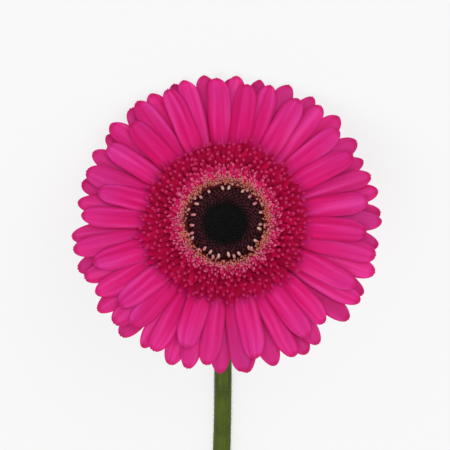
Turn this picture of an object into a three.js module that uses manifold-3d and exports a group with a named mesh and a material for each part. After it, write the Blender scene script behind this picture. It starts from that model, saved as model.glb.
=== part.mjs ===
// A cut gerbera laid on a flat surface, in millimetres, +Z up.
// The stem runs along -Y to its cut end. The neck lifts the head, which leans forward until its front petals
// touch the surface. The origin is on the surface, under the middle of the whole flower.
// The head is made in its own frame: origin where the stem joins it, +Z out of its face, +Y to its low front.

import * as THREE from "three";
import { mergeVertices } from "three/addons/utils/BufferGeometryUtils.js";
import Module from "manifold-3d";

const wasm = await Module();
wasm.setup();

// How the flower lies
const FLOWER_LENGTH = 400; // cut end to front petal tips
const HEAD_LEAN = THREE.MathUtils.degToRad(35); // head axis from the vertical, towards +Y
const HEAD_X = -0.2;
const HEAD_Y = 146.45;
const HEAD_Z = 18.6;
const GAP = 0.3; // between neighbouring pieces

// Stem
const NECK_RADIUS = 2.9;
const STEM_RADIUS = 3.15;
const CUT_RADIUS = 3.9;
const STEM_SIDES = 10;
const STEM_X = -1.1; // where it first lies flat
const STEM_BOW = -5; // sideways, half way along
const NECK_RUN = 36; // from the head back to where the stem first lies flat
const NECK_HANDLE = 13; // how far the neck keeps straight at both ends
const NECK_STEPS = 8;
const STEM_STEPS = 14;

// Ray florets, the long petals: order 0 is the lowest and outermost, 1 the topmost and innermost
const RAYS = 72;
const RAY_REACH = 55.0;
const TOP_RAY_REACH = 49.6;
const RAY_ASIDE = 0.3; // how much longer than that towards the head's +X
const RAY_AHEAD = 0.6; // and towards its +Y
const TOP_RAY_AHEAD = 1.6; // the same for the topmost rays
const RAY_HALF_WIDTH = 3.9;
const TOP_RAY_HALF_WIDTH = 4.1;
const RAY_ROOT_SHARE = 0.12; // half width at the root, as a share
const RAY_TIP_SHARE = 0.34;
const RAY_FULL = 0.58; // share of the way out, from where it has its full width
const RAY_WIDEST = 0.82; // share of the way out, from where its tip is half an ellipse
const RAY_THICKNESS = 0.6;
const RAY_ARCH = 0.3;
const RAY_STATIONS = [0, 0.2, 0.46, 0.76, 0.9, 0.965, 1];
const GOLDEN_ANGLE = Math.PI * (3 - Math.sqrt(5));
const LAYER_COUNT = 13; // rays in a row that stay clear of each other
const LAYER_STEP = 0.65; // between pressed layers

// Trans florets, the ring of short crimson petals, on a crested body
const TRANS = 76;
const TRANS_OUTER = 29.8;
const TRANS_INNER = 18.9;
const TRANS_LENGTH = 5;
const TRANS_CREST = 24;
const TRANS_CREST_HEIGHT = 19.4;
const TRANS_OUTER_FALL = 0.029;
const TRANS_INNER_FALL = 0.038; // steeper, because the eye lies in a bowl
const TRANS_ROOT_MIN = 17.5;

// Open florets round the dark eye, and the closed buds in it
const ANTHERS = 20;
const ANTHER_RADIUS = 13.5;
const PAPPUS = 24;
const PAPPUS_RADIUS = 15;
const BUDS = 40;
const EYE_RADIUS = 11.2;
const BUD_FLOOR = 13.7; // height at the middle of the eye
const BUD_RISE = 0.9; // from the middle to the eye's edge

// Involucre, the green cup, with rows of bracts: where each starts and ends, as shares of the cup's side
const CUP_OUTLINE = [
  [3.2, 0],
  [6, 0.8],
  [9.5, 2.6],
  [12, 5.2],
  [13.2, 7.6],
];
const BRACT_ROWS = [
  { count: 14, from: 0.12, to: 0.7, halfWidth: 1.7 },
  { count: 16, from: 0.45, to: 1.05, halfWidth: 1.8 },
];
const BRACT_PER_SHARE = 15; // mm, for the stretch of a bract past the cup's rim

const TURN_SIDES = 24; // facets round a turned body
const CRUMB = 0.05; // edges shorter than this are closed up
const UP_IN_HEAD = new THREE.Vector3(0, -Math.sin(HEAD_LEAN), Math.cos(HEAD_LEAN));

// A repeatable random share from 0 to 1 for item i, draw k.
function draw(i, k) {
  const wave = Math.sin(i * 12.9898 + k * 78.233) * 43758.5453;
  return wave - Math.floor(wave);
}

function spread(i, k, amount) {
  return (2 * draw(i, k) - 1) * amount;
}

function mix(a, b, share) {
  return a + (b - a) * share;
}

function smooth(low, high, x) {
  return THREE.MathUtils.smoothstep(x, low, high);
}

// A point of the head's frame, by the angle of a radius, the way out along it, to its side and up.
function radialPoint(angle, radius, side, height) {
  const [cos, sin] = [Math.cos(angle), Math.sin(angle)];
  return new THREE.Vector3(cos * radius - sin * side, sin * radius + cos * side, height);
}

// A curve in the plane of one radius, from [radius, height] pairs.
function planeCurve(points) {
  const vectors = points.map(([x, y]) => new THREE.Vector2(x, y));
  return vectors.length === 2 ? new THREE.LineCurve(...vectors) : new THREE.CubicBezierCurve(...vectors);
}

// A closed skin through rings of equally many points, with both ends capped by fans.
// The two halves of a ring are split along the same diagonals, so a thin blade never meets itself.
function loft(rings) {
  const sides = rings[0].length;
  const index = [];
  for (let row = 0; row + 1 < rings.length; row++) {
    for (let side = 0; side < sides; side++) {
      const a = row * sides + side;
      const b = row * sides + ((side + 1) % sides);
      if (side < sides / 2) index.push(a, b, b + sides, a, b + sides, a + sides);
      else index.push(a, b, a + sides, b, b + sides, a + sides);
    }
  }
  const last = (rings.length - 1) * sides;
  for (let side = 1; side + 1 < sides; side++) {
    index.push(0, side + 1, side);
    index.push(last, last + side, last + side + 1);
  }
  const geometry = new THREE.BufferGeometry().setFromPoints(rings.flat());
  return geometry.setIndex(index);
}

// A slim body with a diamond section along a plane curve, from [share, half width, half depth] rows.
function spindle(angle, curve, sections) {
  const rings = sections.map(([share, halfWidth, halfDepth]) => {
    const middle = curve.getPoint(share);
    const along = curve.getTangent(share);
    const corners = [
      [halfWidth, 0],
      [0, halfDepth],
      [-halfWidth, 0],
      [0, -halfDepth],
    ];
    return corners.map(([side, rise]) =>
      radialPoint(angle, middle.x - along.y * rise, side, middle.y + along.x * rise),
    );
  });
  return toSolid(loft(rings));
}

// A body turned about Z from a closed outline of [radius, height] pairs.
function turned(outline) {
  const points = outline.map(([radius, height]) => new THREE.Vector2(radius, height));
  return toSolid(new THREE.LatheGeometry(points, TURN_SIDES).rotateX(Math.PI / 2));
}

function toSolid(geometry) {
  const bare = new THREE.BufferGeometry().setAttribute("position", geometry.getAttribute("position"));
  bare.setIndex(geometry.index);
  const merged = mergeVertices(bare, 1e-4);
  const source = merged.index.array;
  const triangles = [];
  for (let i = 0; i < source.length; i += 3) {
    const [a, b, c] = source.slice(i, i + 3);
    if (a !== b && b !== c && c !== a) triangles.push(a, b, c);
  }
  const make = () =>
    new wasm.Manifold(
      new wasm.Mesh({
        numProp: 3,
        vertProperties: merged.attributes.position.array,
        triVerts: new Uint32Array(triangles),
      }),
    );
  const solid = make();
  if (solid.volume() > 0) return solid;
  triangles.reverse();
  return make();
}

// Joins solids two by two, clears crumbs left where they cross, and fills the hollows that this seals.
function join(solids) {
  let round = solids;
  while (round.length > 1) {
    const next = [];
    for (let i = 0; i < round.length; i += 2) {
      next.push(i + 1 < round.length ? round[i].add(round[i + 1]) : round[i]);
    }
    round = next;
  }
  const skins = round[0].simplify(CRUMB).decompose();
  return skins.reduce((largest, skin) => (skin.volume() > largest.volume() ? skin : largest));
}

function times(count, make) {
  return Array.from({ length: count }, (_, i) => make(i));
}

function meshOf(name, solid, colour, roughness) {
  const { numProp, numVert, vertProperties, triVerts } = solid.getMesh();
  const position = new Float32Array(numVert * 3);
  for (let i = 0; i < numVert; i++) {
    position.set(vertProperties.subarray(i * numProp, i * numProp + 3), i * 3);
  }
  const geometry = new THREE.BufferGeometry();
  geometry.setAttribute("position", new THREE.BufferAttribute(position, 3));
  geometry.setIndex(new THREE.BufferAttribute(triVerts, 1));
  geometry.computeVertexNormals();
  const look = { color: colour, roughness, metalness: 0, flatShading: true };
  const mesh = new THREE.Mesh(geometry, new THREE.MeshStandardMaterial(look));
  mesh.name = name;
  return mesh;
}

// A ray's half width as a share: a narrow root, widest well out, and a rounded tip.
function rayOutline(out) {
  if (out < RAY_WIDEST) return mix(RAY_ROOT_SHARE, 1, smooth(0, RAY_FULL, out));
  const past = (out - RAY_WIDEST) / (1 - RAY_WIDEST);
  return Math.max(RAY_TIP_SHARE, Math.sqrt(Math.max(0, 1 - past * past)));
}

// Rays that would sink into the surface lie pressed on it, in their layers.
function pressed(point, i, lift) {
  const height = HEAD_Z + point.dot(UP_IN_HEAD);
  const least = Math.floor(i / LAYER_COUNT) * LAYER_STEP + lift;
  return height < least ? point.addScaledVector(UP_IN_HEAD, least - height) : point;
}

function ray(i) {
  const order = i / (RAYS - 1);
  const inner = smooth(0.5, 1, order);
  const halfWidth = mix(RAY_HALF_WIDTH, TOP_RAY_HALF_WIDTH, inner) + spread(i, 2, 0.3);
  const angle = Math.PI / 2 + i * GOLDEN_ANGLE + spread(i, 4, 0.02); // the lowest points to the front
  const longer = RAY_ASIDE * Math.cos(angle) + mix(RAY_AHEAD, TOP_RAY_AHEAD, inner) * Math.sin(angle);
  const reach = mix(RAY_REACH, TOP_RAY_REACH, inner) + longer + spread(i, 1, mix(1, 2, inner));
  const rootRadius = mix(11.4, 10.4, order);
  const curve = planeCurve([
    [rootRadius, mix(8.7, 10.7, order)],
    [mix(15, 14, order), mix(11.2, 15, order)],
    [mix(31, 29, order), mix(15.3, 19.6, order)],
    [reach, mix(11.6, 16, order) + spread(i, 3, 0.1)],
  ]);
  const rings = RAY_STATIONS.map((share) => {
    const middle = curve.getPoint(share);
    const along = curve.getTangent(share);
    const halfSpan = halfWidth * rayOutline((middle.x - rootRadius) / (reach - rootRadius));
    const corner = (side, lift) => {
      const rise = lift - RAY_THICKNESS / 2 - Math.abs(side) * RAY_ARCH;
      const point = radialPoint(angle, middle.x - along.y * rise, side * halfSpan, middle.y + along.x * rise);
      return pressed(point, i, lift);
    };
    const upper = [-1, 0, 1].map((side) => corner(side, RAY_THICKNESS));
    const lower = [1, 0, -1].map((side) => corner(side, 0));
    return [...upper, ...lower];
  });
  return toSolid(loft(rings));
}

function rayFlorets() {
  const ring = turned([
    [8.9, 5.6],
    [11, 7.4],
    [12.2, 9.2],
    [12.1, 10.8],
    [10.8, 11.6],
    [8.9, 11.6],
    [8.9, 5.6],
  ]);
  return meshOf("ray_florets", join([ring, ...times(RAYS, ray)]), 0xcf2074, 0.55);
}

// Height of the crimson ring's own body at a radius.
function crestHeight(radius) {
  const fall = radius < TRANS_CREST ? TRANS_INNER_FALL : TRANS_OUTER_FALL;
  return TRANS_CREST_HEIGHT - fall * (radius - TRANS_CREST) ** 2;
}

function transFlorets() {
  const body = turned([
    [5.6, 5.3],
    [8.6, 5.3],
    [8.6, 11.9],
    [12.2, 13.1],
    [16, 15.3],
    [20, 17.1],
    [24, 18.2],
    [27, 18.6],
    ...[27, 24, 20.5, 16.8, 13.1].map((radius) => [radius, crestHeight(radius) + 0.15]),
    [12.8, 14.2],
    [9, 12.55],
    [5.6, 11.9],
    [5.6, 5.3],
  ]);
  const florets = times(TRANS, (i) => {
    const share = (i + 0.5) / TRANS;
    const tip = Math.sqrt(mix(TRANS_OUTER ** 2, TRANS_INNER ** 2, share)) + spread(i, 5, 0.3);
    const root = Math.max(tip - TRANS_LENGTH, TRANS_ROOT_MIN);
    const lift = mix(0.6, 1.7, share) + spread(i, 6, 0.2);
    const curve = planeCurve([
      [root, crestHeight(root) - 0.4],
      [tip, crestHeight(tip) + lift],
    ]);
    return spindle(i * GOLDEN_ANGLE, curve, [
      [0, 0.9, 0.45],
      [0.7, 1.2, 0.45],
      [1, 0.5, 0.3],
    ]);
  });
  return meshOf("trans_florets", join([body, ...florets]), 0x970f3b, 0.6);
}

function openFlorets() {
  const seat = (radius) => crestHeight(radius) + 0.22 + GAP;
  const ring = turned([
    [13.2, seat(13.2)],
    [16.6, seat(16.6)],
    [16.6, seat(16.6) + 0.8],
    [13.2, seat(13.2) + 1],
    [13.2, seat(13.2)],
  ]);
  const around = (i, count, shift, k) => ((i + shift + spread(i, k, 0.25)) / count) * 2 * Math.PI;
  const anthers = times(ANTHERS, (i) => {
    const curve = planeCurve([
      [ANTHER_RADIUS, 16.1],
      [ANTHER_RADIUS - 1.7 + spread(i, 8, 0.3), 17.5],
    ]);
    return spindle(around(i, ANTHERS, 0, 7), curve, [
      [0, 0.7, 0.6],
      [1, 0.4, 0.4],
    ]);
  });
  const pappus = times(PAPPUS, (i) => {
    const curve = planeCurve([
      [PAPPUS_RADIUS, 17.2],
      [PAPPUS_RADIUS + spread(i, 10, 0.3), 18.9],
    ]);
    return spindle(around(i, PAPPUS, 0.5, 9), curve, [
      [0, 0.8, 0.6],
      [1, 0.35, 0.35],
    ]);
  });
  return meshOf("open_florets", join([ring, ...anthers, ...pappus]), 0xc9876b, 0.7);
}

function diskBuds() {
  const heightAt = (radius) => BUD_FLOOR + BUD_RISE * (radius / EYE_RADIUS) ** 2;
  const body = turned([
    [0, 5],
    [5.3, 5],
    [5.3, 12.2],
    [9, 12.9],
    [12.5, 14.4],
    [12.5, 15],
    [EYE_RADIUS, heightAt(EYE_RADIUS)],
    [8, heightAt(8)],
    [0, BUD_FLOOR],
  ]);
  const buds = times(BUDS, (i) => {
    const radius = EYE_RADIUS * Math.sqrt((i + 0.5) / BUDS);
    const curve = planeCurve([
      [radius, heightAt(radius) - 0.3],
      [radius - 0.1, heightAt(radius) + 1],
    ]);
    return spindle(i * GOLDEN_ANGLE, curve, [
      [0, 1.3, 1.3],
      [1, 0.6, 0.6],
    ]);
  });
  return meshOf("disk_buds", join([body, ...buds]), 0x241318, 0.75);
}

function involucre() {
  const side = new THREE.SplineCurve(CUP_OUTLINE.map((pair) => new THREE.Vector2(...pair)));
  const cup = turned([[0, 0], ...CUP_OUTLINE, [12.4, 8.1], [11.3, 6.9], [9, 5], [0, 4.2]]);
  const beside = (share, off) => {
    const clipped = Math.min(share, 1);
    const point = side.getPoint(clipped);
    const along = side.getTangent(clipped);
    const past = (share - clipped) * BRACT_PER_SHARE;
    return [point.x + along.y * off + along.x * past, point.y - along.x * off + along.y * past];
  };
  const bracts = BRACT_ROWS.flatMap((row, k) =>
    times(row.count, (i) => {
      const angle = ((i + k * 0.5 + spread(i, 11 + k, 0.12)) / row.count) * 2 * Math.PI;
      const span = row.to - row.from;
      const curve = planeCurve([
        beside(row.from, -0.2),
        beside(row.from + 0.33 * span, 0.5),
        beside(row.from + 0.67 * span, 0.5),
        beside(row.to, 0.5),
      ]);
      return spindle(angle, curve, [
        [0, row.halfWidth * 0.8, 0.5],
        [0.55, row.halfWidth, 0.5],
        [1, 0.35, 0.35],
      ]);
    }),
  );
  return meshOf("involucre", join([cup, ...bracts]), 0x6f8a45, 0.7);
}

// The stem's middle line: from the head back and down the neck, then along the surface to the cut end.
function stemLine() {
  const flatRise = Math.cos(Math.PI / STEM_SIDES); // a flat side's distance, as a share of the corner radius
  const axis = new THREE.Vector3(0, Math.sin(HEAD_LEAN), Math.cos(HEAD_LEAN));
  const top = new THREE.Vector3(HEAD_X, HEAD_Y, HEAD_Z).addScaledVector(axis, -GAP);
  const lies = new THREE.Vector3(STEM_X, HEAD_Y - NECK_RUN, STEM_RADIUS * flatRise);
  const bend = new THREE.CubicBezierCurve3(
    top,
    top.clone().addScaledVector(axis, -NECK_HANDLE),
    lies.clone().add(new THREE.Vector3(0, NECK_HANDLE, 0)),
    lies,
  );
  const neck = times(NECK_STEPS, (i) => {
    const share = i / NECK_STEPS;
    const radius = mix(NECK_RADIUS, STEM_RADIUS, share);
    return { point: bend.getPoint(share), along: bend.getTangent(share), radius };
  });
  const end = -FLOWER_LENGTH / 2;
  const run = times(STEM_STEPS + 1, (i) => {
    const share = i / STEM_STEPS;
    const radius = mix(STEM_RADIUS, CUT_RADIUS, share);
    const [sin, cos] = [Math.sin(Math.PI * share), Math.cos(Math.PI * share)];
    const slope = (4 * Math.PI * STEM_BOW * sin ** 3 * cos) / (lies.y - end);
    const along = new THREE.Vector3(slope, -1, 0).normalize();
    const point = new THREE.Vector3(lies.x + STEM_BOW * sin ** 4, mix(lies.y, end, share), radius * flatRise);
    return { point, along, radius };
  });
  return [...neck, ...run];
}

function stem() {
  const rings = stemLine().map(({ point, along, radius }) => {
    const side = new THREE.Vector3(0, 0, 1).cross(along).normalize();
    const up = along.clone().cross(side);
    return times(STEM_SIDES, (k) => {
      const turn = ((k + 0.5) / STEM_SIDES) * 2 * Math.PI;
      return point
        .clone()
        .addScaledVector(side, radius * Math.sin(turn))
        .addScaledVector(up, radius * Math.cos(turn));
    });
  });
  return meshOf("stem", toSolid(loft(rings)), 0x5f7238, 0.65);
}

const head = new THREE.Group();
head.position.set(HEAD_X, HEAD_Y, HEAD_Z);
head.rotation.x = -HEAD_LEAN;
head.add(involucre(), rayFlorets(), transFlorets(), openFlorets(), diskBuds());

const gerbera = new THREE.Group();
gerbera.add(head, stem());

export default gerbera;
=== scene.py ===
"""A cut gerbera laid on a pale floor and seen from above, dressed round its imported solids.

The flower's forms are worked out in millimetres, those of the head in the head's own frame: origin where
the stem joins it, +Z out of its face, +Y to its low front. Skin.build() turns them into the frame's metres.
"""

import math

import bpy
import numpy as np
from mathutils import Matrix, Vector


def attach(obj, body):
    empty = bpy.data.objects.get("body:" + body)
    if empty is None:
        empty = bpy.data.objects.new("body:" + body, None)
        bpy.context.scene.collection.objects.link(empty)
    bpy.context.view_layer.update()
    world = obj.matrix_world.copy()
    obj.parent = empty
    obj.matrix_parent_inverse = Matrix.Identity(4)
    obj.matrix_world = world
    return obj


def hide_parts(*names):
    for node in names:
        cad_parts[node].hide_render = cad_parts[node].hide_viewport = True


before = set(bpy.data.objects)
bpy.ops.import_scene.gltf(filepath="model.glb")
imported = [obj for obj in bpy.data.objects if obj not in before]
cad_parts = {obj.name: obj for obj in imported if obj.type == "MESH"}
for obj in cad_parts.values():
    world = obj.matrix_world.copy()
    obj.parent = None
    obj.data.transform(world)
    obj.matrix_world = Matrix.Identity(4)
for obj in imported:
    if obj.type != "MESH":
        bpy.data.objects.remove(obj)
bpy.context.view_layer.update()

MM = 0.001
GOLDEN_ANGLE = math.pi * (3 - math.sqrt(5))

# How the flower lies, as in its solids: HEAD_X, HEAD_Y and HEAD_Z place the origin of the head's frame
HEAD_LEAN = math.radians(35)
HEAD_X = -0.2
HEAD_Y = 146.45
HEAD_Z = 18.6
FLOWER_LENGTH = 400

# Marks in the third look value of the green surfaces
SKIN, HAIR, FLESH, HOLLOW = 0, 1.2, 2.2, 3.0

# Stem, whose neck runs up to the head in a curve
NECK_RADIUS = 2.9
STEM_RADIUS = 3.15
CUT_RADIUS = 3.9
STEM_X = -1.1
STEM_BOW = -5
NECK_RUN = 36
NECK_HANDLE = 13
STEM_SIDES = 48
STEM_HAIRS = 15000
STEM_HAIR_LENGTH = (0.35, 0.8)

# Rings of the cut end: share of the stem's radius, how far past its end, and the mark of what shows there
CUT_RINGS = [
    (0.94, 0.05, SKIN),
    (0.86, 0.0, FLESH),
    (0.5, -0.1, FLESH),
    (0.38, -0.5, HOLLOW),
    (0.02, -2.2, HOLLOW),
]

# Ray florets, the long petals: the TOP_RAY values are those of the topmost
RAYS = 72
RAY_REACH = 55.0
TOP_RAY_REACH = 49.6

# A ray's middle line: handles of radius and height near its root, and the height of its tip
RAY_HANDLES = [(11.4, 8.7), (15, 11.2), (31, 15.3)]
TOP_RAY_HANDLES = [(10.4, 10.7), (14, 15), (29, 19.6)]
RAY_TIP_HEIGHT = 11.6
TOP_RAY_TIP_HEIGHT = 16

# How much further the rays reach towards +X and +Y, and how much shorter they are round one direction
RAY_ASIDE = 0.3
RAY_AHEAD = 0.6
TOP_RAY_AHEAD = 1.6
RAY_SHORTER = 1.6
RAY_SHORTER_AT = 2.69

# Form of a ray: sizes in mm, places in shares of its length or of its half width, and how its layers stack
RAY_HALF_WIDTH = 3.9
TOP_RAY_HALF_WIDTH = 4.1
RAY_ROOT_SHARE = 0.12
RAY_FULL = 0.58
RAY_WIDEST = 0.82
RAY_TIP_BULGE = 0.006
RAY_THICKNESS = 0.5
RAY_ARCH = 0.45
FURROW_AT = 0.36
FURROW_DEPTH = 0.1
LAYER_COUNT = 13
LAYER_STEP = 0.65

# Trans florets, the short crimson petals: sizes in pairs are the innermost and the outermost floret's
TRANS = 385
TRANS_LENGTH = (4.6, 6.4)
TRANS_HALF_WIDTH = (1.0, 1.5)
TRANS_RISE = (1.0, 0.75)
TRANS_THICKNESS = 0.25

# Where their tips end, from the innermost to the outermost, and how much further towards +X and +Y
TRANS_INNER = 18.0
TRANS_OUTER = 31.1
TRANS_ASIDE = -0.2
TRANS_AHEAD = -0.8

# Waves of the ring's outer edge, each as its count round the ring, height and phase in radians
TRANS_WAVES = [(2, 0.5, 0.5), (3, 0.8, -2.35), (6, 0.5, 2.06)]

# The crested body that carries the trans florets, its underside as pairs of radius and height
TRANS_CREST = 24
TRANS_CREST_HEIGHT = 19.4
TRANS_OUTER_FALL = 0.029
TRANS_INNER_FALL = 0.038
CREST_UNDERSIDE = [
    (12.8, 14.2), (9, 12.55), (8.9, 12), (12.2, 13.1),
    (16, 15.3), (20, 17.1), (24, 18.0), (27, 18.1),
]

# Open florets round the eye: pink tube tips, salmon bristles, and anther tubes in two rings, all with their
# least and greatest length
TUBES = 360
TUBE_INNER = 15.0
TUBE_OUTER = 18.8
TUBE_LENGTH = (2.0, 3.2)
BRISTLES = 1000
BRISTLE_INNER = 14.1
BRISTLE_OUTER = 17.5
BRISTLE_LENGTH = (1.4, 2.4)
ANTHER_LENGTH = (3.0, 4.0)
ANTHER_ROOT_HEIGHT = 14.9
ANTHER_RINGS = [
    {"count": 22, "radius": 14.2, "lean": -1.0, "least_chance": 0.0},
    {"count": 13, "radius": 14.8, "lean": -0.4, "least_chance": 0.7},
]
TUBE, BRISTLE, ANTHER = 0, 1, 2

# Closed buds in the eye, on a shallow bowl, and the radius of their green-black core: sizes in pairs are
# those of the middle buds and of the buds at the edge
BUDS = 500
BUD_RADIUS = (0.36, 0.62)
BUD_LENGTH = (0.8, 1.3)
BUD_REACH = 13.2
CORE_RADIUS = 8.4
EYE_RADIUS = 11.2
BUD_FLOOR = 13.7
BUD_RISE = 0.9

# Involucre, the green cup: CUP_SLANT is how much its side runs outwards at each point of CUP_OUTLINE, and
# BRACT_PER_SHARE how far a bract would run past the rim in one whole share
CUP_OUTLINE = np.array([(3.2, 0.0), (6, 0.8), (9.5, 2.6), (12, 5.2), (13.2, 7.6)])
CUP_INSIDE = [(12.2, 7.6), (11.2, 6.6), (9, 4.8), (0.05, 4.2)]
CUP_SLANT = [0.97, 0.93, 0.8, 0.55, 0.42]
BRACT_PER_SHARE = 15
BRACT_ROWS = [
    {"count": 16, "start": 0.1, "stop": 0.72, "half_width": 1.35},
    {"count": 20, "start": 0.3, "stop": 0.98, "half_width": 1.4},
    {"count": 24, "start": 0.5, "stop": 1.18, "half_width": 1.35},
]
BRACT_THICKNESS = 0.5
CUP_HAIRS = 2600
CUP_HAIR_LENGTH = (0.6, 1.2)

# How far light travels in a petal: metres, and the shares of it for red, green and blue
GLOW_DEPTH = 0.0016
GLOW_BY_COLOUR = (0.8, 0.15, 0.3)

# Studio, in metres: the floor glows a little, and each light has a size, a power and a place, which is told
# from the spot that all of them point at, over the head's origin
FLOOR_REACH = 6.0
FLOOR_DROP = 0.0001
FLOOR_GLOW = 0.75
WORLD_STRENGTH = 0.62
LIT_HEIGHT = 0.03
LIGHTS = {
    "key": {"place": (-0.35, -0.4, 1.1), "size": 0.9, "power": 5.1},
    "fill": {"place": (0.45, 0.65, 0.9), "size": 1.0, "power": 4.7},
}

# Camera, which looks at a spot over the head's origin: FRAME_WIDTH is what its picture spans there
FRAME_WIDTH = 159.8
CAMERA_LEAN = math.radians(23)
CAMERA_DISTANCE = 1150
AIM_HEIGHT = 13.5
AIM_ASIDE = -0.2
AIM_UP = -0.5
SENSOR = 36


def draw(i, k):
    """A repeatable random share from 0 to 1 for item i, draw k, as in the flower's solids."""
    wave = np.sin(np.asarray(i) * 12.9898 + k * 78.233) * 43758.5453
    return wave - np.floor(wave)


def spread(i, k, amount):
    """A repeatable random number from -amount to amount."""
    return (2 * draw(i, k) - 1) * amount


def mix(a, b, share):
    """a at share 0, b at share 1."""
    return a + (b - a) * share


def smooth(low, high, x):
    """0 below low, 1 above high, and a smooth rise between."""
    share = np.clip((x - low) / (high - low), 0, 1)
    return share * share * (3 - 2 * share)


def linear(red, green, blue):
    """A colour given as 0 to 255 screen values, as Blender's linear numbers."""
    shares = np.array([red, green, blue]) / 255
    low, high = shares / 12.92, ((shares + 0.055) / 1.055) ** 2.4
    return (*np.where(shares <= 0.04045, low, high).tolist(), 1.0)


def triples(a, b, c):
    """Three arrays or numbers joined as the x, y and z of one array."""
    return np.stack(np.broadcast_arrays(a, b, c), -1).astype(float)


def cubic(a, b, c, d, t):
    """The place at share t of a cubic curve from a to d, with b and c as its handles."""
    s = 1 - t
    return s**3 * a + 3 * s * s * t * b + 3 * s * t * t * c + t**3 * d


def bezier(points, t):
    """Places and directions at shares t of cubic curves, whose four points are pairs of arrays.
    They come as four arrays: radius, height, and how much the curve runs out and up there."""
    s = 1 - t
    places, slopes = [], []
    for a, b, c, d in zip(*points):
        places.append(cubic(a, b, c, d, t))
        slopes.append(s * s * (b - a) + 2 * s * t * (c - b) + t * t * (d - c))
    length = np.hypot(*slopes) + 1e-9
    return places[0], places[1], slopes[0] / length, slopes[1] / length


def from_radial(angle, radius, side, height):
    """Points of the head's frame from the angle of a radius, the way out along it, to its side and up."""
    cos, sin = np.cos(angle), np.sin(angle)
    return triples(cos * radius - sin * side, sin * radius + cos * side, height)


def head_to_world(points):
    """Points of the head's frame where the leaning head has them in the world."""
    x, y, z = points[..., 0], points[..., 1], points[..., 2]
    cos, sin = math.cos(HEAD_LEAN), math.sin(HEAD_LEAN)
    return triples(x + HEAD_X, y * cos + z * sin + HEAD_Y, z * cos - y * sin + HEAD_Z)


def as_is(points):
    """Stands in for head_to_world where points are the world's already."""
    return points


def quads(*corners):
    """Faces of four points, from four arrays that hold one corner's ids each."""
    return np.stack([corner.ravel() for corner in corners], 1)


def blade_grid(count, shares, columns):
    """Numbers, shares along and places across, shaped to fill a (blade, along, across) grid together."""
    across = np.linspace(-1, 1, columns)
    return np.arange(count)[:, None, None], shares[None, :, None], across[None, None, :]


def round_rings(ids, closed_along=False):
    """Quads between neighbouring rows of a (rows, sides) grid of ids, whose sides close on themselves."""
    after = np.roll(ids, -1, axis=-1)
    if closed_along:
        nearer, further = (ids, after), (np.roll(ids, -1, axis=0), np.roll(after, -1, axis=0))
    else:
        nearer, further = (ids[..., :-1, :], after[..., :-1, :]), (ids[..., 1:, :], after[..., 1:, :])
    return quads(nearer[0], nearer[1], further[1], further[0])


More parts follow.
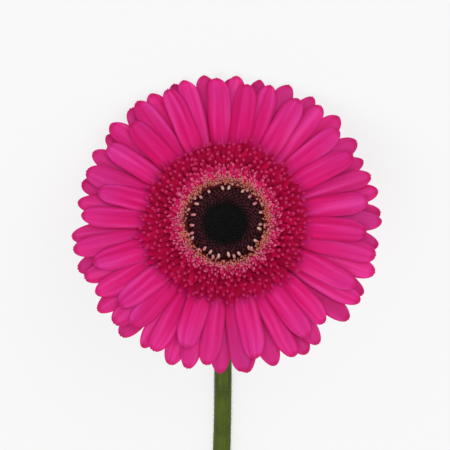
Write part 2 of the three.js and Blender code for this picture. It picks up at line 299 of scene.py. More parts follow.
class Skin:
    """Collects closed surfaces with their attributes, and makes one Blender object of them."""

    def __init__(self):
        self.points, self.faces, self.looks, self.borders = [], [], [], []
        self.count = 0

    def add(self, points, faces, look, border=None):
        """points and look are (n, 3), faces holds arrays of ids, border numbers points on sharp rims."""
        self.points.append(points)
        self.looks.append(np.broadcast_to(look, (len(points), 3)))
        self.borders.append(np.zeros(len(points), int) if border is None else border)
        for group in faces:
            self.faces += (np.asarray(group) + self.count).tolist()
        self.count += len(points)

    def add_blades(self, upper, lower, upper_look, lower_look=None):
        """Thin blades from (n, along, across, 3) grids of their upper and lower sides."""
        n, rows, columns, _ = upper.shape
        ids = np.arange(n * 2 * rows * columns).reshape(n, 2, rows, columns)
        top, low = ids[:, 0], ids[:, 1]
        faces = [
            quads(top[:, :-1, :-1], top[:, 1:, :-1], top[:, 1:, 1:], top[:, :-1, 1:]),
            quads(low[:, :-1, :-1], low[:, :-1, 1:], low[:, 1:, 1:], low[:, 1:, :-1]),
            quads(top[:, :-1, 0], low[:, :-1, 0], low[:, 1:, 0], top[:, 1:, 0]),
            quads(top[:, :-1, -1], top[:, 1:, -1], low[:, 1:, -1], low[:, :-1, -1]),
            quads(top[:, -1, :-1], low[:, -1, :-1], low[:, -1, 1:], top[:, -1, 1:]),
            quads(top[:, 0, :-1], top[:, 0, 1:], low[:, 0, 1:], low[:, 0, :-1]),
        ]
        edge = np.zeros((rows, columns), int)
        edge[[0, -1], :] = 1
        edge[:, [0, -1]] = 1
        border = np.tile(np.stack([edge, 2 * edge]).ravel(), n)
        points = np.stack([upper, lower], 1).reshape(-1, 3)
        looks = np.stack([upper_look, upper_look if lower_look is None else lower_look], 1)
        self.add(points, faces, looks.reshape(-1, 3), border)

    def add_pegs(self, root, axis, length, rows, sides, look):
        """Tapered round pegs from rows of share of length and radius. look is a function of the share."""
        n = len(root)
        axis = axis / np.linalg.norm(axis, axis=1, keepdims=True)
        helper = np.where(np.abs(axis[:, 2:]) < 0.9, [[0.0, 0, 1]], [[1.0, 0, 0]])
        across = np.cross(axis, helper)
        across /= np.linalg.norm(across, axis=1, keepdims=True)
        other = np.cross(axis, across)
        turn = (np.arange(sides) * 2 * math.pi / sides)[:, None]
        circle = across[:, None] * np.cos(turn) + other[:, None] * np.sin(turn)
        rings, looks = [], []
        for share, radius in rows:
            middle = root + axis * (np.broadcast_to(length, n) * share)[:, None]
            rings.append(middle[:, None] + circle * np.broadcast_to(radius, n)[:, None, None])
            looks.append(np.broadcast_to(look(share)[:, None], (n, sides, 3)))
        ids = np.arange(n * len(rows) * sides).reshape(n, len(rows), sides)
        faces = [round_rings(ids), ids[:, 0, ::-1], ids[:, -1]]
        self.add(np.stack(rings, 1).reshape(-1, 3), faces, np.stack(looks, 1).reshape(-1, 3))

    def add_turned(self, outline, sides, look):
        """A body turned about the head's axis from pairs of radius and height that close on themselves.
        look is a function of the radius."""
        outline = np.array(outline, float)
        turn = np.arange(sides) * 2 * math.pi / sides
        points = from_radial(turn, outline[:, :1], 0.0, outline[:, 1:])
        ids = np.arange(len(outline) * sides).reshape(-1, sides)
        looks = np.repeat(look(outline[:, 0]), sides, axis=0)
        self.add(points.reshape(-1, 3), [round_rings(ids, closed_along=True)], looks)

    def build(self, name, material, node, place=head_to_world):
        """Makes the object that stands for a node, and keeps edges within one border number sharp."""
        points = place(np.concatenate(self.points)) * MM
        mesh = bpy.data.meshes.new(name)
        mesh.from_pydata(points.tolist(), [], self.faces)
        mesh.polygons.foreach_set("use_smooth", np.ones(len(mesh.polygons), bool))
        looks = mesh.attributes.new("look", "FLOAT_VECTOR", "POINT")
        looks.data.foreach_set("vector", np.concatenate(self.looks).astype(np.float32).ravel())
        border = np.concatenate(self.borders)
        ends = np.empty(len(mesh.edges) * 2, np.int32)
        mesh.edges.foreach_get("vertices", ends)
        first, second = border[ends[::2]], border[ends[1::2]]
        sharp = mesh.attributes.new("sharp_edge", "BOOLEAN", "EDGE")
        sharp.data.foreach_set("value", (first > 0) & (first == second))
        mesh.materials.append(material)
        mesh.update()
        piece = bpy.data.objects.new(name, mesh)
        bpy.context.scene.collection.objects.link(piece)
        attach(piece, "root")
        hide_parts(node)


class Look:
    """A material's node tree, with short calls for what the flower's materials share."""

    def __init__(self, name, roughness, specular=0.2, subsurface=0.0):
        self.material = bpy.data.materials.new(name)
        self.material.use_nodes = True
        self.tree = self.material.node_tree
        self.shader = self.tree.nodes["Principled BSDF"]
        self.shader.inputs["Roughness"].default_value = roughness
        self.shader.inputs["Specular IOR Level"].default_value = specular
        self.shader.inputs["Subsurface Weight"].default_value = subsurface
        self.shader.inputs["Subsurface Radius"].default_value = GLOW_BY_COLOUR
        self.shader.inputs["Subsurface Scale"].default_value = GLOW_DEPTH
        look = self.node("ShaderNodeAttribute", attribute_name="look")
        split = self.node("ShaderNodeSeparateXYZ")
        self.tree.links.new(look.outputs["Vector"], split.inputs[0])
        self.first, self.second, self.third = split.outputs

    def node(self, kind, **settings):
        made = self.tree.nodes.new(kind)
        for key, value in settings.items():
            setattr(made, key, value)
        return made

    def feed(self, socket, value):
        """Links a socket to another node's output, or gives it a fixed value."""
        if isinstance(value, bpy.types.NodeSocket):
            self.tree.links.new(value, socket)
        else:
            socket.default_value = value

    def math(self, operation, a, b=0.0):
        made = self.node("ShaderNodeMath", operation=operation)
        self.feed(made.inputs[0], a)
        self.feed(made.inputs[1], b)
        return made.outputs[0]

    def between(self, value, low, high, start=0.0, end=1.0):
        """value brought from low..high to start..end, smoothly and no further."""
        made = self.node("ShaderNodeMapRange", interpolation_type="SMOOTHSTEP")
        for socket, given in zip(made.inputs, (value, low, high, start, end)):
            self.feed(socket, given)
        return made.outputs[0]

    def blend(self, a, b, share):
        """Colour a at share 0, colour b at share 1."""
        made = self.node("ShaderNodeMix", data_type="RGBA")
        self.feed(made.inputs["Factor"], share)
        self.feed(made.inputs[6], a)
        self.feed(made.inputs[7], b)
        return made.outputs[2]

    def vector(self, *parts):
        made = self.node("ShaderNodeCombineXYZ")
        for socket, value in zip(made.inputs, parts):
            self.feed(socket, value)
        return made.outputs[0]

    def scaled(self, *factors):
        """The three look values, each times a factor, as a place for a noise to be read at."""
        values = (self.first, self.second, self.third)
        return self.vector(*[self.math("MULTIPLY", *pair) for pair in zip(values, factors)])

    def place(self):
        return self.node("ShaderNodeTexCoord").outputs["Object"]

    def noise(self, vector, scale, detail=2.0):
        made = self.node("ShaderNodeTexNoise")
        self.feed(made.inputs["Vector"], vector)
        made.inputs["Scale"].default_value = scale
        made.inputs["Detail"].default_value = detail
        return made.outputs[0]

    def finish(self, colour, roughness=None, height=None, depth=0.0001, strength=0.5):
        """Joins the colour to the shader, with a roughness and a relief where they are given."""
        self.feed(self.shader.inputs["Base Color"], colour)
        if roughness is not None:
            self.feed(self.shader.inputs["Roughness"], roughness)
        if height is not None:
            bump = self.node("ShaderNodeBump")
            bump.inputs["Distance"].default_value = depth
            bump.inputs["Strength"].default_value = strength
            self.feed(bump.inputs["Height"], height)
            self.feed(self.shader.inputs["Normal"], bump.outputs[0])
        return self.material


def ray_look():
    """first: share along the petal, second: place across it from -1 to 1, third: how low its layer is, from
    0 to 1 with some chance in it, and less than 0 on the underside."""
    look = Look("pink_petal", 0.55, specular=0.07, subsurface=0.4)
    along = look.first
    aside = look.math("ABSOLUTE", look.second)
    lowness = look.math("ABSOLUTE", look.third)

    # Crimson at the root, partly the petals' own colour and partly painted shade beside the crimson ring,
    # then pink along the blade and magenta towards the tip
    colour = look.blend(linear(192, 0, 66), linear(217, 24, 117), look.between(along, 0.3, 0.58))
    colour = look.blend(colour, linear(211, 42, 134), look.between(along, 0.72, 1.0))

    # A tone of its own for each petal, then broad streaks along it; the light streaks are partly a painted
    # highlight, as of ridges catching light
    tone = look.noise(look.scaled(0.0, 0.0, 90.0), 1.0)
    colour = look.blend(colour, linear(198, 0, 90), look.between(tone, 0.5, 0.7, 0.0, 0.5))
    colour = look.blend(colour, linear(231, 62, 160), look.between(tone, 0.5, 0.32, 0.0, 0.5))
    streaks = look.noise(look.scaled(1.0, 1.1, 40.0), 1.6, 1.0)
    colour = look.blend(colour, linear(190, 0, 80), look.between(streaks, 0.5, 0.7, 0.0, 0.5))
    colour = look.blend(colour, linear(234, 72, 166), look.between(streaks, 0.5, 0.28, 0.0, 0.5))

    # Painted shade along the furrows, then the deep lower layers, and the flanks that dip under their
    # neighbours
    beside = look.math("ABSOLUTE", look.math("SUBTRACT", aside, FURROW_AT))
    colour = look.blend(colour, linear(188, 0, 90), look.between(beside, 0.0, 0.34, 0.16, 0.0))
    # Painted glow: a brighter, purer red over the inner part of the lower layers, which lie in shade,
    # standing in for light coming through the petals
    deep = look.math("MULTIPLY", look.between(lowness, 0.15, 0.5), look.between(along, 0.62, 0.42))
    colour = look.blend(colour, linear(240, 0, 100), look.math("MULTIPLY", deep, 0.75))
    # Painted shade on the flanks that dip under their neighbours, towards the root
    shaded_flank = look.math("MULTIPLY", look.between(aside, 0.4, 1.0), look.between(along, 0.82, 0.5))
    colour = look.blend(colour, linear(208, 0, 68), look.math("MULTIPLY", shaded_flank, 0.75))

    # Painted shade as duller, darker mauve tips on the lower layers, which lie under the others; then dark
    # rims and a paler underside
    shaded_low_tip = look.math("MULTIPLY", look.between(lowness, 0.4, 0.8), look.between(along, 0.5, 0.9))
    colour = look.blend(colour, linear(173, 44, 120), look.math("MULTIPLY", shaded_low_tip, 0.65))
    # Dark rims along the sides and the tip: partly a darker edge line, partly painted shade where the sides
    # curl down beside their neighbours
    rim = look.math("MAXIMUM", look.between(aside, 0.78, 1.0), look.between(along, 0.965, 0.99))
    colour = look.blend(colour, linear(166, 2, 72), look.math("MULTIPLY", rim, 0.5))
    colour = look.blend(colour, linear(222, 92, 150), look.between(look.third, 0.0, -0.01, 0.0, 0.55))

    veins = look.noise(look.scaled(2.0, 26.0, 30.0), 1.0)
    roughness = look.between(streaks, 0.3, 0.7, 0.48, 0.62)
    return look.finish(colour, roughness, veins, 0.00018, 0.2)


def floret_look():
    """first: share along the floret, second: how far out it is in mm, third: chance from 0 to 1."""
    look = Look("crimson_floret", 0.6, specular=0.05)
    along, radius, chance = look.first, look.second, look.third

    # Crimson, but pink in the innermost rows over a dark inner wall
    colour = look.blend(linear(154, 0, 47), linear(161, 0, 53), look.between(along, 0.2, 0.8))
    colour = look.blend(linear(204, 18, 92), colour, look.between(radius, 17.6, 20.8))
    colour = look.blend(linear(66, 12, 26), colour, look.between(radius, 13.6, 14.8))

    # Darker and brighter florets by chance, pinker ones at the outer edge, and pale tips
    colour = look.blend(colour, linear(128, 0, 36), look.between(chance, 0.5, 1.0, 0.0, 0.6))
    colour = look.blend(colour, linear(194, 4, 66), look.between(chance, 0.4, 0.0, 0.0, 0.5))
    colour = look.blend(colour, linear(200, 4, 98), look.between(radius, 27.5, 32.5, 0.0, 0.8))
    pale = look.blend(linear(197, 54, 98), linear(184, 34, 92), look.between(radius, 19.0, 27.0))
    colour = look.blend(colour, pale, look.between(along, 0.76, 0.84))
    grain = look.noise(look.place(), 2600.0)
    return look.finish(colour, None, grain, 0.00012, 0.4)


def open_look():
    """first: share along, second: TUBE, BRISTLE or ANTHER, third: chance from 0 to 1."""
    look = Look("open_floret", 0.6, specular=0.1)
    along, kind, chance = look.first, look.second, look.third

    # Tubes go from crimson to a pale pink tip
    pale = look.blend(linear(219, 104, 144), linear(204, 58, 112), look.between(chance, 0.2, 0.8))
    tube = look.blend(linear(196, 24, 80), pale, look.between(along, 0.35, 0.9))

    # Bristles are tan or orange near the eye and salmon to pink further out, on a dark root
    sectors = look.noise(look.place(), 160.0, 1.0)
    tan = look.blend(linear(188, 122, 98), linear(212, 116, 98), look.between(sectors, 0.4, 0.6))
    bristle = look.blend(tan, linear(211, 124, 118), look.between(chance, 0.25, 0.45))
    bristle = look.blend(bristle, linear(219, 114, 146), look.between(chance, 0.5, 0.75))
    bristle = look.blend(linear(94, 24, 34), bristle, look.between(along, 0.0, 0.5))

    # Anthers are cream to dull pink on a dark stalk
    anther = look.blend(linear(214, 166, 154), linear(200, 130, 134), look.between(chance, 0.3, 0.8))
    anther = look.blend(linear(66, 12, 22), anther, look.between(along, 0.42, 0.62))

    colour = look.blend(tube, bristle, look.between(kind, 0.4, 0.6))
    colour = look.blend(colour, anther, look.between(kind, 1.4, 1.6))
    grain = look.noise(look.place(), 3000.0)
    return look.finish(colour, None, grain, 0.0001, 0.4)


def bud_look():
    """first: share up the bud, second: how far out it is in mm, third: chance from 0 to 1."""
    look = Look("dark_bud", 0.6, specular=0.08)
    along, radius, chance = look.first, look.second, look.third
    rim = look.blend(linear(54, 22, 28), linear(70, 32, 39), look.between(along, 0.3, 1.0))
    core = look.blend(linear(8, 9, 8), linear(16, 18, 17), look.between(along, 0.3, 1.0))
    colour = look.blend(core, rim, look.between(radius, CORE_RADIUS - 1.6, CORE_RADIUS + 1.6))
    colour = look.blend(colour, linear(24, 12, 16), look.between(chance, 0.4, 1.0, 0.0, 0.5))
    grain = look.noise(look.place(), 3000.0)
    return look.finish(colour, None, grain, 0.0001, 0.4)


def green_look(name, deep, middle, pale, band):
    """first: place along, second: place across or round, third: SKIN, HAIR, FLESH or HOLLOW."""
    look = Look(name, 0.6, specular=0.2, subsurface=0.04)
    mark = look.third

    # The skin, mottled from deep to middle green, with pale bands along it
    broad = look.noise(look.place(), 90.0, 3.0)
    colour = look.blend(deep, middle, look.between(broad, 0.35, 0.65))
    bands = look.noise(look.scaled(4.0, 1.0, 0.0), band)
    colour = look.blend(colour, pale, look.between(bands, 0.5, 0.75, 0.0, 0.55))

    # Grey-green hairs, pale speckled flesh on the cut, and a darker hollow in it
    speckles = look.between(look.noise(look.place(), 1300.0), 0.35, 0.6)
    flesh = look.blend(linear(184, 192, 128), linear(214, 216, 176), speckles)
    colour = look.blend(colour, linear(122, 134, 74), look.between(mark, 0.9, 1.1, 0.0, 0.8))
    colour = look.blend(colour, flesh, look.between(mark, 1.9, 2.1))
    colour = look.blend(colour, linear(150, 168, 92), look.between(mark, 2.5, 2.9, 0.0, 0.8))

    fine = look.noise(look.place(), 1500.0, 3.0)
    height = look.math("ADD", look.math("MULTIPLY", bands, 1.5), fine)
    roughness = look.between(broad, 0.3, 0.7, 0.52, 0.68)
    return look.finish(colour, roughness, height, 0.00015, 0.5)


def ray_outline(out, blunt):
    """Half width, as a share of the widest, at a share of the way out along a ray. The tip is about half
    an ellipse: an exact one where blunt is 2, and blunter above that."""
    inner = mix(RAY_ROOT_SHARE, 1, smooth(0, RAY_FULL, out))
    past = np.clip((out - RAY_WIDEST) / (1 - RAY_WIDEST), 0, 1)
    return np.where(out < RAY_WIDEST, inner, np.sqrt(1 - past**blunt))


def press_down(points, least):
    """Points of the world that would sink below a height settle softly onto it."""
    softness = 0.5
    untouched = 4
    depth = points[..., 2] - least
    settled = least + 0.5 * (depth + np.sqrt(depth * depth + softness * softness))
    result = points.copy()
    result[..., 2] = np.where(depth < untouched, settled, points[..., 2])
    return result


def ray_florets():
    """The long pink petals, from the lowest and outermost to the topmost, round by the golden angle."""
    # The rows lie closer and closer in the round tip
    tip_start = 0.84
    body = np.linspace(0, tip_start, 22, endpoint=False)
    tip = mix(tip_start, 1, np.sin(np.linspace(0, math.pi / 2, 14)))
    i, along, across = blade_grid(RAYS, np.concatenate([body, tip]), 17)
    order = i / (RAYS - 1)

    # Where each ray points, how wide it is and how far it reaches
    inner = smooth(0.5, 1, order)
    half_width = mix(RAY_HALF_WIDTH, TOP_RAY_HALF_WIDTH, inner) + spread(i, 2, 0.3)
    angle = math.pi / 2 + i * GOLDEN_ANGLE + spread(i, 4, 0.02)
    longer = RAY_ASIDE * np.cos(angle) + mix(RAY_AHEAD, TOP_RAY_AHEAD, inner) * np.sin(angle)
    shorter = RAY_SHORTER * smooth(0.85, 1, np.cos(angle - RAY_SHORTER_AT))
    reach = mix(RAY_REACH, TOP_RAY_REACH, inner) + longer - shorter + spread(i, 1, mix(1, 2, inner))

    # Its middle line, as four handles of radius and height
    curve = [
        (mix(low[0], top[0], order), mix(low[1], top[1], order))
        for low, top in zip(RAY_HANDLES, TOP_RAY_HANDLES)
    ]
    curve.append((reach, mix(RAY_TIP_HEIGHT, TOP_RAY_TIP_HEIGHT, order) + spread(i, 3, 0.1)))
    root_radius = curve[0][0]

    # Its outline: a bulging, faintly notched tip, a blunter or finer end, and a slight swing to a side
    near_tip = smooth(0.9, 1, along)
    notch = mix(0.0, 0.005, draw(i, 21)) * np.exp(-(((np.abs(across) - 0.4) / 0.2) ** 2))
    share = along - (RAY_TIP_BULGE * across * across + notch) * near_tip
    radius, height, out, up = bezier(curve, share)
    side_radius = bezier(curve, along - RAY_TIP_BULGE * near_tip)[0]
    blunt = mix(1.5, 2.5, draw(i, 22))
    half = half_width * ray_outline((side_radius - root_radius) / (reach - root_radius), blunt)
    swing = spread(i, 5, 1.1) * share**2 + spread(i, 23, 0.6) * smooth(0.86, 1, along)

    # Its relief: the arch across it, two furrows, a turn about its length, waves, and a ruffled edge
    arch = RAY_ARCH * smooth(0.05, 0.5, share) * mix(0.7, 1.3, draw(i, 6))
    groove = np.exp(-(((np.abs(across) - FURROW_AT) / 0.24) ** 2)) * smooth(0.12, 0.4, share)
    furrow = FURROW_DEPTH * groove * (1 - 0.6 * smooth(0.85, 1, share))
    roll = np.tan(spread(i, 7, math.radians(7))) * across * half * smooth(0.3, 1, share)
    wave = 0.22 * share * np.sin(2 * math.pi * (1.1 * share + draw(i, 8)))
    ripple = np.sin(2 * math.pi * (2.2 * share + draw(i, 9)))
    ruffle = 0.16 * across * np.abs(across) * smooth(0.35, 0.9, share) * ripple
    lift = roll + wave + ruffle - arch * across * across
    thick = RAY_THICKNESS * mix(1, 0.3, np.abs(across) ** 3) * mix(1, 0.5, smooth(0.8, 1, along))

    def sheet(level):
        """One side of the petals, that much above their middle lines."""
        points = from_radial(angle, radius - up * level, swing + across * half, height + out * level)
        return head_to_world(points)

    # Where rays rest on the floor, each layer of them lies on the one below
    layer = np.floor(i / LAYER_COUNT) * LAYER_STEP
    upper = press_down(sheet(lift + thick / 2 - furrow), layer + thick)
    lower = press_down(sheet(lift - thick / 2), layer)
    lowness = 0.02 + 0.6 * (1 - order) + 0.38 * draw(i, 10)
    skin = Skin()
    skin.add_blades(upper, lower, triples(share, across, lowness), triples(share, across, -lowness))
    skin.build("ray_petals", ray_look(), "ray_florets", place=as_is)


def crest_height(radius):
    """Height of the body that carries the trans florets, on its upper side."""
    fall = np.where(np.asarray(radius) < TRANS_CREST, TRANS_INNER_FALL, TRANS_OUTER_FALL)
    return TRANS_CREST_HEIGHT - fall * (np.asarray(radius) - TRANS_CREST) ** 2


def trans_florets():
    """The ring of short crimson florets with pale tips, over the body that carries them."""
    skin = Skin()
    over = [(radius, crest_height(radius) - 0.3) for radius in np.linspace(27.5, 13.1, 15)]
    skin.add_turned(CREST_UNDERSIDE + over, 96, lambda radius: triples(0.5, radius, 0.4))

    i, along, across = blade_grid(TRANS, np.linspace(0, 1, 15), 7)

    # Where each floret points and ends, from the outermost to the innermost, and its middle line
    angle = i * GOLDEN_ANGLE + spread(i, 36, 0.03)
    furthest = TRANS_OUTER + TRANS_ASIDE * np.cos(angle) + TRANS_AHEAD * np.sin(angle)
    for count, amount, phase in TRANS_WAVES:
        furthest += amount * np.cos(count * angle - phase)
    tip = np.sqrt(mix(furthest**2, TRANS_INNER**2, (i + 0.5) / TRANS)) + spread(i, 31, 0.7)
    outer = smooth(24, 30, tip)
    root = np.maximum(tip - mix(*TRANS_LENGTH, outer), 14.8 + spread(i, 32, 0.3))
    rise = mix(*TRANS_RISE, outer) + spread(i, 33, 0.4)
    curve = [
        (root, crest_height(root) - 0.6),
        (mix(root, tip, 0.15), crest_height(root) + rise * 0.6),
        (mix(root, tip, 0.75), crest_height(tip) + rise * 0.6),
        (tip, crest_height(tip) + rise),
    ]
    share = along - 0.04 * across * across * smooth(0.6, 1, along)
    radius, height, out, up = bezier(curve, share)

    # Its outline narrows to a finger-shaped tip, and it is cupped, the outermost ones the other way
    width = mix(*TRANS_HALF_WIDTH, outer) * mix(0.85, 1.15, draw(i, 34))
    tip_width = 0.55 * mix(0.85, 1.15, draw(i, 39)) / width
    taper = mix(1, tip_width, smooth(0.52, 0.76, along))
    half = width * mix(0.6, 1, smooth(0, 0.5, along)) * taper * (1 - 0.5 * smooth(0.93, 1.0, along))
    cup = 0.25 * across * across * smooth(0.2, 0.6, along) * mix(0.6, -0.6, outer)
    roll = np.tan(spread(i, 35, 0.25)) * across * half
    swing = spread(i, 37, 0.7) * share**2
    thick = TRANS_THICKNESS * mix(1, 0.5, np.abs(across)) * mix(1, 2.2, smooth(0.8, 0.92, along))

    def sheet(level):
        """One side of the florets, that much above their middle lines."""
        return from_radial(angle, radius - up * level, swing + across * half, height + out * level)

    look = triples(share, radius, draw(i, 38))
    skin.add_blades(sheet(cup + roll + thick / 2), sheet(cup + roll - thick / 2), look)
    skin.build("crimson_petals", floret_look(), "trans_florets")


def open_florets():
    """Round the eye: pink tube tips, salmon bristles, and two rings of anther tubes that lean inwards."""
    skin = Skin()

    # The collar that carries them
    over = [(radius, crest_height(radius) + 0.1) for radius in (16.6, 15.4, 14.8, 14.2)]
    outline = [(13.2, 14.6), (16.6, 16.8), *over, (13.2, 15.2)]
    skin.add_turned(outline, 72, lambda radius: triples(smooth(14.3, 16.6, radius) * 0.5, BRISTLE, 0.5))

    # Tube tips, which lean outwards
    k = np.arange(TUBES)
    radius = np.sqrt(mix(TUBE_INNER**2, TUBE_OUTER**2, (k + 0.5) / TUBES)) + spread(k, 41, 0.4)
    angle = k * GOLDEN_ANGLE + spread(k, 42, 0.05)
    root = from_radial(angle, radius, spread(k, 43, 0.2), crest_height(radius) - 0.3)
    axis = from_radial(angle, 0.9 + spread(k, 44, 0.6), spread(k, 45, 0.5), 1)
    length = mix(*TUBE_LENGTH, draw(k, 46))
    size = mix(0.8, 1.2, draw(k, 48))
    rows = [(0, 0.24 * size), (0.5, 0.32 * size), (0.8, 0.38 * size), (0.94, 0.3 * size), (1, 0.1)]
    skin.add_pegs(root, axis, length, rows, 7, lambda share: triples(share, TUBE, draw(k, 47)))

    # Bristles, pinker further out
    k = np.arange(BRISTLES)
    radius = mix(BRISTLE_INNER, BRISTLE_OUTER, draw(k, 51))
    angle = k * GOLDEN_ANGLE + spread(k, 52, 0.05)
    root = from_radial(angle, radius, 0, crest_height(radius) - 0.5)
    axis = from_radial(angle, 0.2 + spread(k, 53, 0.8), spread(k, 54, 0.5), 1)
    length = mix(*BRISTLE_LENGTH, draw(k, 55))
    rows = [(0, 0.22), (0.6, 0.3), (0.9, 0.28), (1, 0.12)]
    chance = mix(draw(k, 56), smooth(14.0, 18.0, radius), 0.5)
    skin.add_pegs(root, axis, length, rows, 6, lambda share: triples(0.28 + share, BRISTLE, chance))

    # Anther tubes, spaced evenly round each ring but for a little chance
    for ring in ANTHER_RINGS:
        k = np.arange(ring["count"])
        angle = (k + spread(k, 61, 0.32)) / ring["count"] * 2 * math.pi
        root = from_radial(angle, ring["radius"] + spread(k, 62, 0.5), 0, ANTHER_ROOT_HEIGHT)
        axis = from_radial(angle, ring["lean"] + spread(k, 63, 0.3), spread(k, 64, 0.4), 1)
        length = mix(*ANTHER_LENGTH, draw(k, 65))
        rows = [(0, 0.32), (0.35, 0.32), (0.5, 0.44), (0.75, 0.54), (0.93, 0.4), (1, 0.12)]
        chance = mix(ring["least_chance"], 1, draw(k, 66))
        skin.add_pegs(root, axis, length, rows, 10, lambda share: triples(share, ANTHER, chance))
    skin.build("anthers_and_tips", open_look(), "open_florets")


def bud_floor(radius):
    """Height of the shallow bowl that the closed buds stand on."""
    return BUD_FLOOR + BUD_RISE * (radius / EYE_RADIUS) ** 2


def disk_buds():
    """The closed buds of the eye, small and green-black at its middle, larger and maroon at its edge."""
    skin = Skin()
    over = [(radius, bud_floor(radius)) for radius in np.linspace(12.9, 0.05, 10)]
    under = [(0.05, 12), (5.3, 12.2), (9, 12.9), (12.7, 14.4)]
    skin.add_turned(under + over, 64, lambda radius: triples(0.5, radius, 0.5))

    k = np.arange(BUDS)
    radius = BUD_REACH * ((k + 0.5) / BUDS) ** 0.55
    angle = k * GOLDEN_ANGLE + spread(k, 76, 0.03)
    outer = radius / BUD_REACH
    size = mix(*BUD_RADIUS, smooth(0.25, 0.95, outer)) * mix(0.85, 1.15, draw(k, 71))
    root = from_radial(angle, radius, 0, bud_floor(radius) - 0.2)
    axis = from_radial(angle, mix(-0.1, -0.3, outer) + spread(k, 72, 0.12), spread(k, 73, 0.12), 1)
    length = mix(*BUD_LENGTH, smooth(0.3, 0.95, outer)) * mix(0.75, 1.25, draw(k, 74))
    rows = [(0, size * 0.8), (0.4, size), (0.75, size * 0.85), (0.95, size * 0.4), (1, size * 0.1)]
    skin.add_pegs(root, axis, length, rows, 8, lambda share: triples(share, radius, draw(k, 75)))
    skin.build("eye_buds", bud_look(), "disk_buds")


def cup_side(share):
    """Places and directions on the outside of the green cup; past share 1 it runs straight on."""
    steps = np.linspace(0, 1, len(CUP_OUTLINE))
    inside = np.clip(share, 0, 1)
    radius = np.interp(inside, steps, CUP_OUTLINE[:, 0])
    height = np.interp(inside, steps, CUP_OUTLINE[:, 1])
    out = np.interp(inside, steps, CUP_SLANT)
    up = np.sqrt(1 - out * out)
    past = (share - inside) * BRACT_PER_SHARE
    return radius + out * past, height + up * past, out, up


def add_bracts(skin, k, row):
    """Row k of narrow green bracts, each an arched blade with a fine tip."""
    i, along, across = blade_grid(row["count"], np.linspace(0, 1, 11), 5)
    angle = (i + 0.5 * k + spread(i, 81 + k, 0.15)) / row["count"] * 2 * math.pi
    share = mix(row["start"], row["stop"] + spread(i, 84 + k, 0.04), along)
    radius, height, out, up = cup_side(share)
    off = 0.25 + 0.35 * np.sin(math.pi * np.clip(along * 1.1, 0, 1))
    taper = 1 - smooth(0.45, 1.02, along) ** 1.3
    half = row["half_width"] * np.clip(mix(0.75, 1, smooth(0, 0.3, along)) * taper, 0.06, 1)
    thick = BRACT_THICKNESS * mix(1, 0.35, across * across) * mix(1, 0.4, along)
    ridge = -0.25 * across * across

    def sheet(level):
        """One side of the bracts, that much outside the cup."""
        return from_radial(angle, radius + up * level, across * half, height - out * level)

    look = triples(share, across * 2, SKIN)
    skin.add_blades(sheet(off - thick / 2 + ridge), sheet(off + thick / 2 + ridge), look)


def involucre():
    """The green cup with three rows of narrow bracts, and short hairs on them."""
    skin = Skin()
    outline = [(0.05, 0.2), *CUP_OUTLINE.tolist(), *CUP_INSIDE]
    skin.add_turned(outline, 64, lambda radius: triples(0.3, 0 * radius, SKIN))
    for k, row in enumerate(BRACT_ROWS):
        add_bracts(skin, k, row)

    k = np.arange(CUP_HAIRS)
    angle = k * GOLDEN_ANGLE
    radius, height, out, up = cup_side(mix(0.05, 1.02, draw(k, 91)))
    root = from_radial(angle, radius + up * 0.3, 0, height - out * 0.3)
    axis = from_radial(angle, up + spread(k, 92, 0.5), spread(k, 93, 0.6), -out + spread(k, 94, 0.5))
    length = mix(*CUP_HAIR_LENGTH, draw(k, 95))
    skin.add_pegs(root, axis, length, [(0, 0.035), (1, 0.012)], 3, lambda share: triples(0.5, 0 * k, HAIR))
    green = green_look("green_bract", linear(62, 84, 30), linear(98, 124, 50), linear(140, 158, 84), 2.0)
    skin.build("bracts", green, "involucre")


def stem_line(neck_steps, run_steps):
    """World points of the stem's middle line, its directions and radii, from the head to the cut end."""
    # The stem of the solids has ten sides and lies on one: its middle is this share of its radius up
    flat_rise = math.cos(math.pi / 10)
    axis = np.array([0, math.sin(HEAD_LEAN), math.cos(HEAD_LEAN)])
    top = np.array([HEAD_X, HEAD_Y, HEAD_Z]) - axis * 0.1
    lies = np.array([STEM_X, HEAD_Y - NECK_RUN, STEM_RADIUS * flat_rise])
    share = np.linspace(0, 1, neck_steps, endpoint=False)
    neck = cubic(top, top - axis * NECK_HANDLE, lies + [0, NECK_HANDLE, 0], lies, share[:, None])
    neck_radius = mix(NECK_RADIUS, STEM_RADIUS, share)
    share = np.linspace(0, 1, run_steps)
    run_radius = mix(STEM_RADIUS, CUT_RADIUS, share)
    swing = STEM_X + STEM_BOW * np.sin(math.pi * share) ** 4
    run = triples(swing, mix(lies[1], -FLOWER_LENGTH / 2, share), run_radius * flat_rise)
    line, radius = np.concatenate([neck, run]), np.concatenate([neck_radius, run_radius])
    along = np.gradient(line, axis=0)
    return line, along / np.linalg.norm(along, axis=1, keepdims=True), radius


def add_stem_skin(skin, line, side, up, radius):
    """The skin of the stem, flat where it would sink into the floor. Returns its last ring and look."""
    turn = np.arange(STEM_SIDES) * 2 * math.pi / STEM_SIDES
    step = np.arange(len(line))[:, None]

    # Fine ribs that turn slowly round the stem, and swells along it
    ribs = 0.05 * np.cos(9 * turn + 0.02 * step) + 0.03 * np.cos(14 * turn + 1.0 - 0.013 * step)
    swell = 0.05 * np.sin(step * 0.11) + 0.04 * np.sin(step * 0.047 + 2)
    circle = side[:, None] * np.sin(turn)[:, None] + up[:, None] * np.cos(turn)[:, None]
    points = line[:, None] + circle * (radius[:, None] + ribs + swell)[..., None]
    points[..., 2] = np.maximum(points[..., 2], 0)
    ids = np.arange(len(line) * STEM_SIDES).reshape(-1, STEM_SIDES)
    length = np.linalg.norm(np.gradient(line, axis=0), axis=1).cumsum()[:, None] / 40
    look = triples(length, np.cos(turn) * 3, SKIN)
    skin.add(points.reshape(-1, 3), [round_rings(ids), ids[:1, ::-1]], look.reshape(-1, 3))
    return points[-1], look[-1]


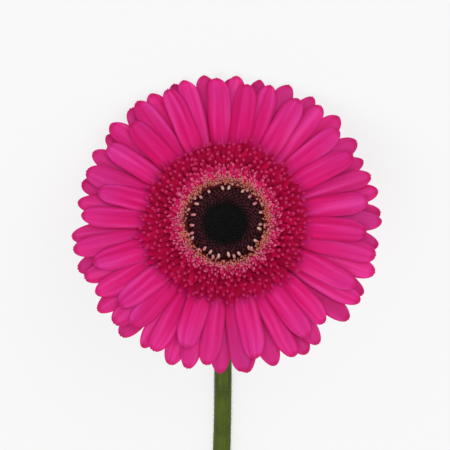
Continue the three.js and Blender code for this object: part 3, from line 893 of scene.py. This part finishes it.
def add_cut_face(skin, end, way, rim, rim_look):
    """The stem's cut end: rings inwards from the rim of its skin, over pale flesh into the hollow."""
    rings = [rim]
    looks = [rim_look]
    for share, past, mark in CUT_RINGS:
        rings.append(end + (rim - end) * share + way * past)
        looks.append(triples(rim_look[:, 0], rim_look[:, 1], mark))
    ids = np.arange(len(rings) * STEM_SIDES).reshape(-1, STEM_SIDES)
    skin.add(np.concatenate(rings), [round_rings(ids), ids[-1:]], np.concatenate(looks))


def add_fuzz(skin, line, along, side, up, radius):
    """Short hairs on the stem. Its underside has none, and those just over it don't point down."""
    bare_below = 0.9
    level_below = 2.2
    k = np.arange(STEM_HAIRS)
    at = draw(k, 101) * (len(line) - 1.01)
    row = at.astype(int)
    angle = draw(k, 102) * 2 * math.pi
    outward = side[row] * np.sin(angle)[:, None] + up[row] * np.cos(angle)[:, None]
    root = line[row] + outward * (radius[row] - 0.05)[:, None] + along[row] * (at - row)[:, None]
    axis = outward + along[row] * spread(k, 103, 0.6)[:, None] + side[row] * spread(k, 104, 0.5)[:, None]
    keep = root[:, 2] > bare_below
    root, axis, k = root[keep], axis[keep], k[keep]
    axis[:, 2] = np.where(root[:, 2] < level_below, np.maximum(axis[:, 2], 0.1), axis[:, 2])
    length = mix(*STEM_HAIR_LENGTH, draw(k, 105))
    skin.add_pegs(root, axis, length, [(0, 0.03), (1, 0.012)], 3, lambda share: triples(0.5, 0 * k, HAIR))


def stem():
    """The ribbed stem with a soft flat underside, its pale cut face, and its fuzz."""
    line, along, radius = stem_line(60, 240)
    side = np.cross([0, 0, 1.0], along)
    side /= np.linalg.norm(side, axis=1, keepdims=True)
    up = np.cross(along, side)
    skin = Skin()
    rim, rim_look = add_stem_skin(skin, line, side, up, radius)
    add_cut_face(skin, line[-1], along[-1], rim, rim_look)
    add_fuzz(skin, line, along, side, up, radius)
    green = green_look("green_stem", linear(58, 74, 14), linear(74, 90, 20), linear(96, 112, 34), 1.2)
    skin.build("flower_stem", green, "stem", place=as_is)


def studio():
    """A pale floor that fills every view, soft light from all round, and two broad lights from above."""
    turns = ((-1, -1), (1, -1), (1, 1), (-1, 1))
    corners = [(x * FLOOR_REACH, y * FLOOR_REACH, 0) for x, y in turns]
    mesh = bpy.data.meshes.new("floor")
    mesh.from_pydata(corners, [], [(0, 1, 2, 3)])
    floor = bpy.data.objects.new("floor", mesh)
    floor.location.z = -FLOOR_DROP
    bpy.context.scene.collection.objects.link(floor)
    look = Look("pale_floor", 0.9, specular=0.0)
    grain = look.noise(look.place(), 400.0)
    look.finish(look.blend(linear(116, 116, 116), linear(120, 120, 120), grain))
    look.shader.inputs["Emission Color"].default_value = (1, 1, 1, 1)
    look.shader.inputs["Emission Strength"].default_value = FLOOR_GLOW
    mesh.materials.append(look.material)

    world = bpy.data.worlds.new("studio")
    world.use_nodes = True
    sky = world.node_tree.nodes["Background"]
    sky.inputs["Color"].default_value = (1, 1, 1, 1)
    sky.inputs["Strength"].default_value = WORLD_STRENGTH
    bpy.context.scene.world = world

    centre = Vector((HEAD_X * MM, HEAD_Y * MM, LIT_HEIGHT))
    for name, given in LIGHTS.items():
        light = bpy.data.lights.new(name, "AREA")
        light.shape = "DISK"
        light.size = given["size"]
        light.energy = given["power"]
        lamp = bpy.data.objects.new(name, light)
        lamp.location = centre + Vector(given["place"])
        lamp.rotation_euler = (centre - lamp.location).to_track_quat("-Z", "Y").to_euler()
        bpy.context.scene.collection.objects.link(lamp)


def camera():
    """Looks down on the head from a little before its face's own axis, as the photograph does."""
    back = Vector((0, math.sin(CAMERA_LEAN), math.cos(CAMERA_LEAN)))
    up = Vector((0, math.cos(CAMERA_LEAN), -math.sin(CAMERA_LEAN)))
    right = Vector((1, 0, 0))
    middle = Vector(head_to_world(np.array([0, 0, AIM_HEIGHT])).tolist())
    target = (middle + up * AIM_UP + right * AIM_ASIDE) * MM
    data = bpy.data.cameras.new("camera")
    data.sensor_width = SENSOR
    data.lens = SENSOR * CAMERA_DISTANCE / FRAME_WIDTH
    data.clip_start = 0.05
    data.clip_end = 20
    made = bpy.data.objects.new("camera", data)
    turned = Matrix((right, up, back)).transposed().to_4x4()
    made.matrix_world = Matrix.Translation(target + back * CAMERA_DISTANCE * MM) @ turned
    bpy.context.scene.collection.objects.link(made)
    bpy.context.scene.camera = made


bpy.context.scene.view_settings.view_transform = "Standard"
studio()
camera()
ray_florets()
trans_florets()
open_florets()
disk_buds()
involucre()
stem()
